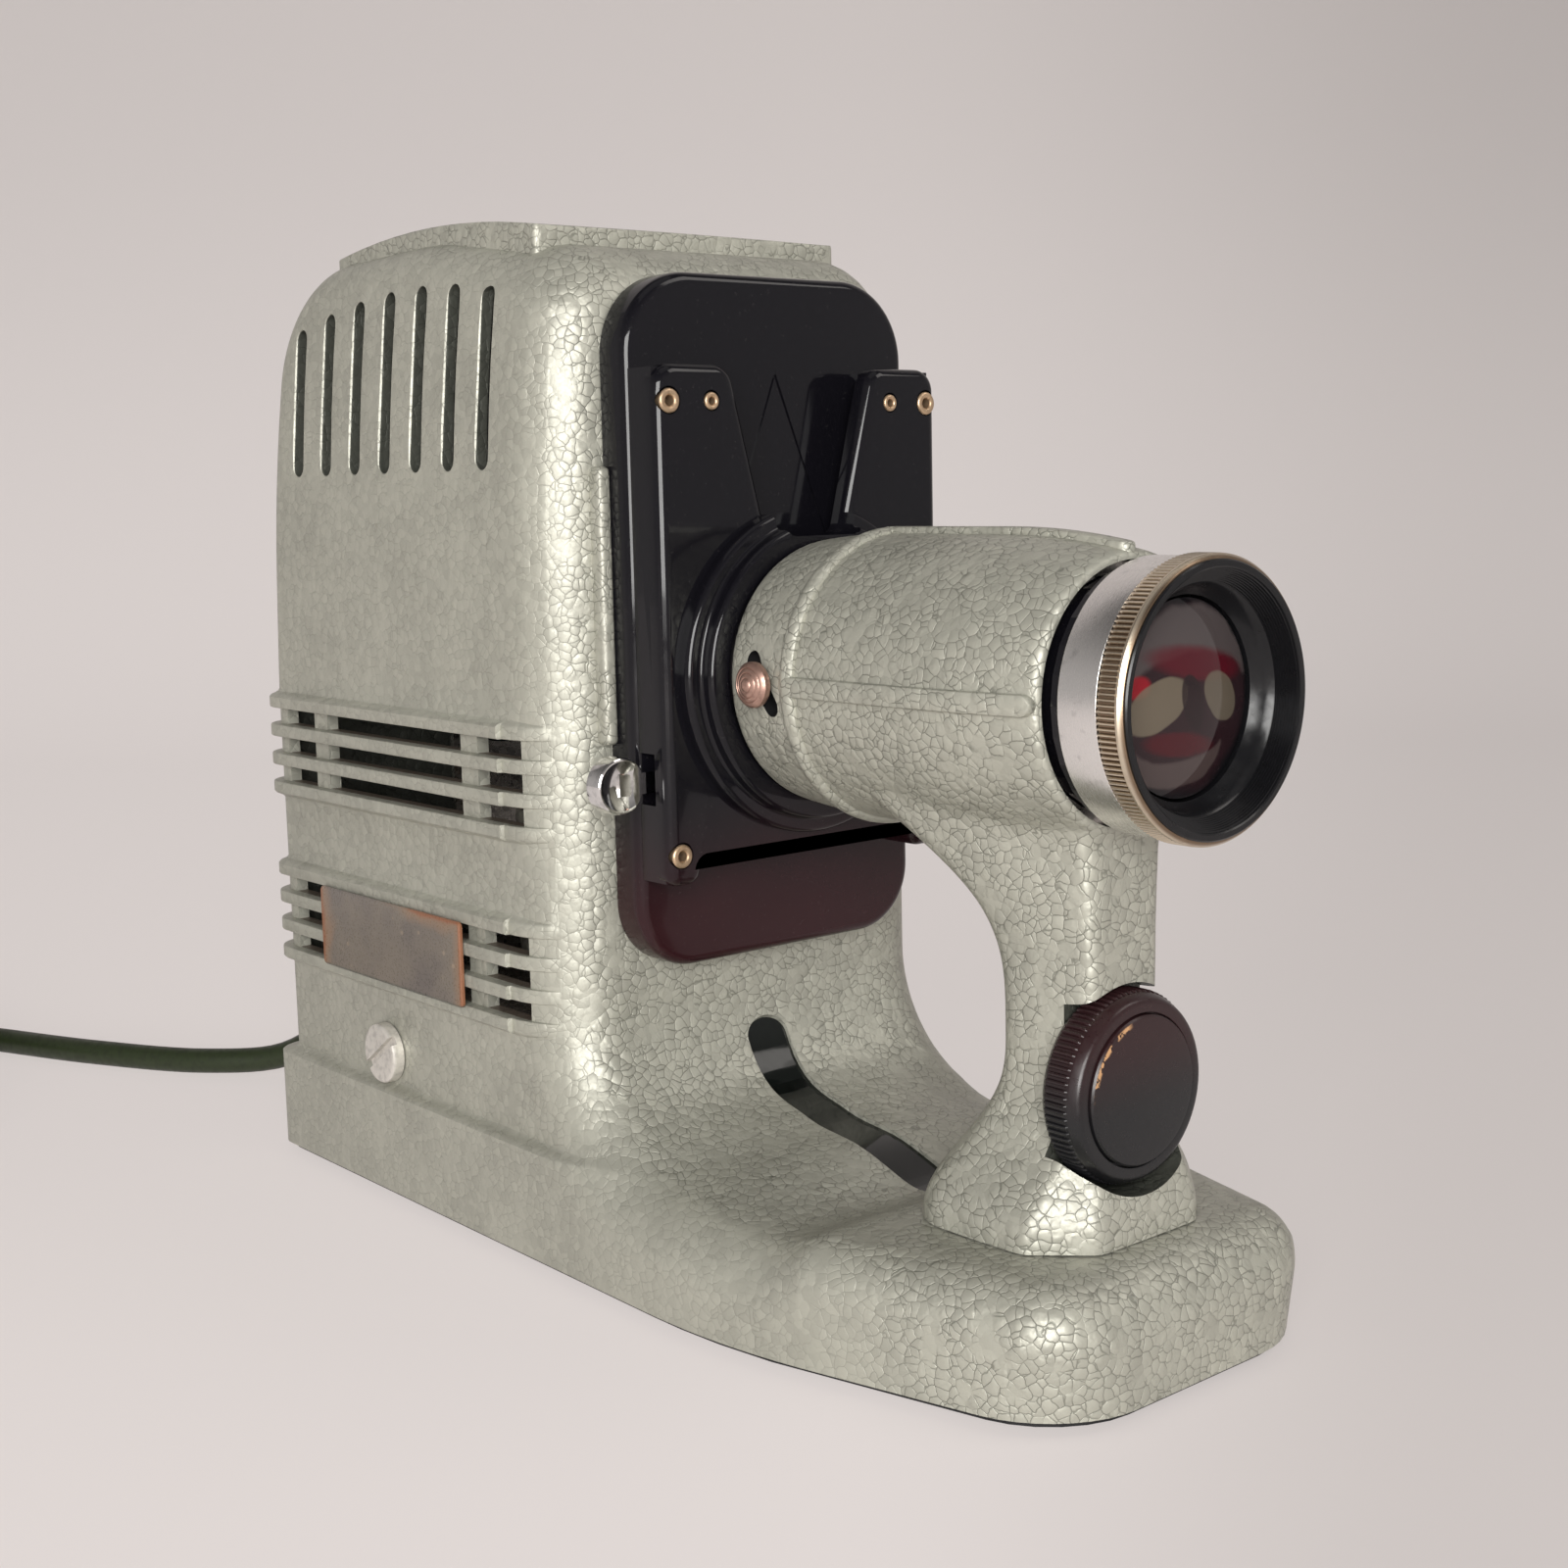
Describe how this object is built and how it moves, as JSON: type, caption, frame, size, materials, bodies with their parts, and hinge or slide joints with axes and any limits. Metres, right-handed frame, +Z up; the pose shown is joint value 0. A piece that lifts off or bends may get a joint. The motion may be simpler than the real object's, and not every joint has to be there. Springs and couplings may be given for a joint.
{
  "type": "slide projector",
  "caption": "Table slide projector with louvred lamp housing, slide stage, focusing lens on an arched stand, tilt knob and mains lead.",
  "frame": {"origin": "on the table under the middle of the projector, its mains lead left out", "axes": "-Y the way the beam leaves, +X right as seen from the screen, +Z up"},
  "size_m": [0.2636, 0.4885, 0.2354],
  "materials": {
    "paint": "crackled hammer finish, grey green, glossy",
    "bakelite": "black moulded resin, glossy",
    "matt_black": "matt black",
    "steel": "turned and nickel plated",
    "bright": "worn bright plating",
    "mirror": "polished reflector",
    "brass": "dull brass",
    "copper": "copper coloured, worn",
    "champagne": "gold coloured, worn at the knurl",
    "rubber": "dark moulded",
    "glass": "clear, thinly coated",
    "cord": "dark green sheath",
    "celluloid": "aged clear sheet over a dark ground",
    "ceramic": "glazed"
  },
  "bodies": {
    "base": {"body_casting": "paint", "top_vent_cover": "paint", "lens_stand": "paint", "stage_rear_plate": "bakelite", "stage_front_plate": "bakelite", "slot_liner": "bakelite", "sole_plate": "matt_black", "condenser_mount": "matt_black", "light_baffle_left": "matt_black", "light_baffle_right": "matt_black", "coin_screw_left": "steel", "coin_screw_right": "steel", "stand_bolt": "steel", "lever_pin": "steel", "slide_spring_left": "steel", "slide_spring_right": "steel", "lamp_chassis": "steel", "plug_pin_left": "bright", "plug_pin_right": "bright", "reflector": "mirror", "shaft_bush": "brass", "lamp_cap": "brass", "eyelet_top_left": "brass", "eyelet_top_right": "brass", "eyelet_low_left": "brass", "eyelet_low_right": "brass", "eyelet_small_left": "brass", "eyelet_small_right": "brass", "foot_rear_left": "rubber", "foot_rear_right": "rubber", "foot_front_left": "rubber", "foot_front_right": "rubber", "strain_relief": "rubber", "cord_tie": "rubber", "mains_plug": "rubber", "heat_glass": "glass", "condenser_front_lens": "glass", "condenser_rear_lens": "glass", "lamp_bulb": "glass", "mains_cord": "cord", "cord_coil": "cord", "label_window": "celluloid", "lamp_holder": "ceramic"},
    "eject_lever": {"eject_lever": "bright"},
    "focus_sleeve": {"focus_sleeve": "steel"},
    "focus_pin": {"focus_pin": "copper"},
    "lens": {"lens_barrel": "bakelite", "scale_ring": "bright", "knurled_ring": "champagne", "front_hood": "bakelite", "front_glass": "glass", "glass_retainer": "matt_black", "rear_glass": "glass"},
    "knob": {"tilt_knob": "bakelite", "knob_cap": "bakelite", "knob_shaft": "steel", "pinion": "brass"},
    "lift": {"rack_post": "steel", "tilt_foot": "rubber"}
  },
  "joints": [
    {"name": "focus_shift", "type": "slide", "parent": "base", "child": "focus_sleeve", "axis": [0, 1, 0], "range_m": [-0.0018, 0.0018]},
    {"name": "focus_turn", "type": "hinge", "parent": "focus_sleeve", "child": "focus_pin", "pos_m": [0, -0.0398, 0.1334], "axis": [0, 1, 0], "range_deg": [-5.8, 5.8]},
    {"name": "lens_draw", "type": "slide", "parent": "focus_sleeve", "child": "lens", "axis": [0, -1, 0], "range_m": [0, 0.014]},
    {"name": "foot_lift", "type": "slide", "parent": "base", "child": "lift", "axis": [0, 0, -1], "range_m": [0, 0.0196]},
    {"name": "knob_turn", "type": "hinge", "parent": "base", "child": "knob", "pos_m": [0, -0.1068, 0.0568], "axis": [0, 1, 0], "range_deg": [0, 250]},
    {"name": "lever_swing", "type": "hinge", "parent": "base", "child": "eject_lever", "pos_m": [-0.0306, -0.013, 0.1054], "axis": [0, -1, 0], "range_deg": [0, 12]}
  ],
  "couplings": [
    {"joint": "focus_turn", "follows": "focus_shift", "rad_per_m": 55.29},
    {"joint": "knob_turn", "follows": "foot_lift", "rad_per_m": 222.22}
  ]
}
